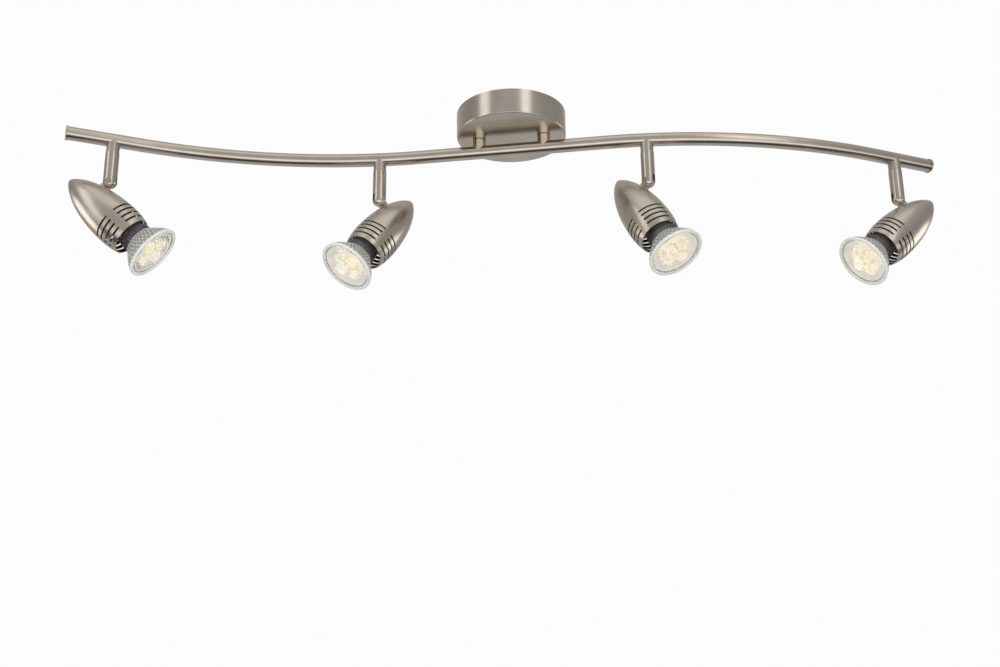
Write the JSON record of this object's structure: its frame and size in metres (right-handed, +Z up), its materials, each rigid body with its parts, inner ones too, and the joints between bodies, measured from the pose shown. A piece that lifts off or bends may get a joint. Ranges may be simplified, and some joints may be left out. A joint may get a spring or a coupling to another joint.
{
  "type": "ceiling spotlight bar",
  "caption": "Ceiling light: S-shaped satin nickel bar on a round rose, with bullet-shaped slotted spots that swivel and tilt and hold twist-base reflector lamps.",
  "frame": {"origin": "middle of the strap's top face, on the ceiling plane, at the centre of the ceiling rose", "axes": "+Z up into the ceiling, +X along the bar, the bar's right half bows towards -Y"},
  "size_m": [0.7834, 0.1248, 0.1645],
  "materials": {
    "satin_nickel": "satin brushed nickel plating",
    "zinc_plate": "bright zinc plated steel",
    "brass": "turned brass",
    "white_plastic": "moulded",
    "ceramic": "unglazed ceramic",
    "dark_plastic": "moulded, dark blue-black",
    "nickel_pins": "plated pins",
    "pressed_glass": "pressed clear glass",
    "clear_lens": "clear moulded lens",
    "led_board": "white board with warm yellow chips"
  },
  "bodies": {
    "base": {"ceiling_rose": "satin_nickel", "mounting_bracket": "zinc_plate", "rose_screws": "zinc_plate", "terminal_block": "white_plastic", "terminal_screws": "brass", "earth_screw": "brass", "standoffs": "satin_nickel", "standoff_washers": "zinc_plate", "standoff_nuts": "zinc_plate", "s_bar": "satin_nickel", "end_caps": "satin_nickel", "stem_collars": "satin_nickel"},
    "stem_1": {"stem_1": "satin_nickel", "swivel_screw_1": "zinc_plate", "pivot_screw_1": "satin_nickel"},
    "head_1": {"tilt_bracket_1": "zinc_plate", "shell_1": "satin_nickel", "lampholder_1": "ceramic", "holder_screws_1": "zinc_plate"},
    "lamp_1": {"lamp_base_1": "dark_plastic", "lamp_pins_1": "nickel_pins", "lamp_reflector_1": "pressed_glass", "lamp_lens_1": "clear_lens", "lamp_leds_1": "led_board"},
    "stem_2": {"stem_2": "satin_nickel", "swivel_screw_2": "zinc_plate", "pivot_screw_2": "satin_nickel"},
    "head_2": {"tilt_bracket_2": "zinc_plate", "shell_2": "satin_nickel", "lampholder_2": "ceramic", "holder_screws_2": "zinc_plate"},
    "lamp_2": {"lamp_base_2": "dark_plastic", "lamp_pins_2": "nickel_pins", "lamp_reflector_2": "pressed_glass", "lamp_lens_2": "clear_lens", "lamp_leds_2": "led_board"},
    "stem_3": {"stem_3": "satin_nickel", "swivel_screw_3": "zinc_plate", "pivot_screw_3": "satin_nickel"},
    "head_3": {"tilt_bracket_3": "zinc_plate", "shell_3": "satin_nickel", "lampholder_3": "ceramic", "holder_screws_3": "zinc_plate"},
    "lamp_3": {"lamp_base_3": "dark_plastic", "lamp_pins_3": "nickel_pins", "lamp_reflector_3": "pressed_glass", "lamp_lens_3": "clear_lens", "lamp_leds_3": "led_board"},
    "stem_4": {"stem_4": "satin_nickel", "swivel_screw_4": "zinc_plate", "pivot_screw_4": "satin_nickel"},
    "head_4": {"tilt_bracket_4": "zinc_plate", "shell_4": "satin_nickel", "lampholder_4": "ceramic", "holder_screws_4": "zinc_plate"},
    "lamp_4": {"lamp_base_4": "dark_plastic", "lamp_pins_4": "nickel_pins", "lamp_reflector_4": "pressed_glass", "lamp_lens_4": "clear_lens", "lamp_leds_4": "led_board"}
  },
  "joints": [
    {"name": "swivel_1", "type": "hinge", "parent": "base", "child": "stem_1", "pos_m": [-0.351, 0.01167, -0.076], "axis": [0, 0, 1], "range_deg": [-245.1, 74.9]},
    {"name": "tilt_1", "type": "hinge", "parent": "stem_1", "child": "head_1", "pos_m": [-0.351, 0.01167, -0.076], "axis": [-0.0854, -0.9963, 0], "range_deg": [-47.3, 42.7]},
    {"name": "lamp_turn_1", "type": "hinge", "parent": "head_1", "child": "lamp_1", "pos_m": [-0.30823, 0.008, -0.14228], "axis": [0.7322, -0.0628, -0.6782], "range_deg": [0, 45]},
    {"name": "swivel_2", "type": "hinge", "parent": "base", "child": "stem_2", "pos_m": [-0.117, 0.02976, -0.076], "axis": [0, 0, 1], "range_deg": [-100.7, 219.3]},
    {"name": "tilt_2", "type": "hinge", "parent": "stem_2", "child": "head_2", "pos_m": [-0.117, 0.02976, -0.076], "axis": [-0.5105, 0.8599, 0], "range_deg": [-38.8, 51.2]},
    {"name": "lamp_turn_2", "type": "hinge", "parent": "head_2", "child": "lamp_2", "pos_m": [-0.14508, 0.01309, -0.1479], "axis": [-0.5388, -0.3199, -0.7793], "range_deg": [0, 45]},
    {"name": "swivel_3", "type": "hinge", "parent": "base", "child": "stem_3", "pos_m": [0.117, -0.02976, -0.076], "axis": [0, 0, 1], "range_deg": [-202.1, 117.9]},
    {"name": "tilt_3", "type": "hinge", "parent": "stem_3", "child": "head_3", "pos_m": [0.117, -0.02976, -0.076], "axis": [-0.742, -0.6704, 0], "range_deg": [-32.8, 57.2]},
    {"name": "lamp_turn_3", "type": "hinge", "parent": "head_3", "child": "lamp_3", "pos_m": [0.13374, -0.04829, -0.15092], "axis": [0.3632, -0.4019, -0.8406], "range_deg": [0, 45]},
    {"name": "swivel_4", "type": "hinge", "parent": "base", "child": "stem_4", "pos_m": [0.351, -0.01167, -0.076], "axis": [0, 0, 1], "range_deg": [-81.2, 238.8]},
    {"name": "tilt_4", "type": "hinge", "parent": "stem_4", "child": "head_4", "pos_m": [0.351, -0.01167, -0.076], "axis": [-0.1942, 0.981, 0], "range_deg": [-48.2, 41.8]},
    {"name": "lamp_turn_4", "type": "hinge", "parent": "head_4", "child": "lamp_4", "pos_m": [0.30787, -0.02021, -0.1416], "axis": [-0.7313, -0.1448, -0.6665], "range_deg": [0, 45]}
  ]
}
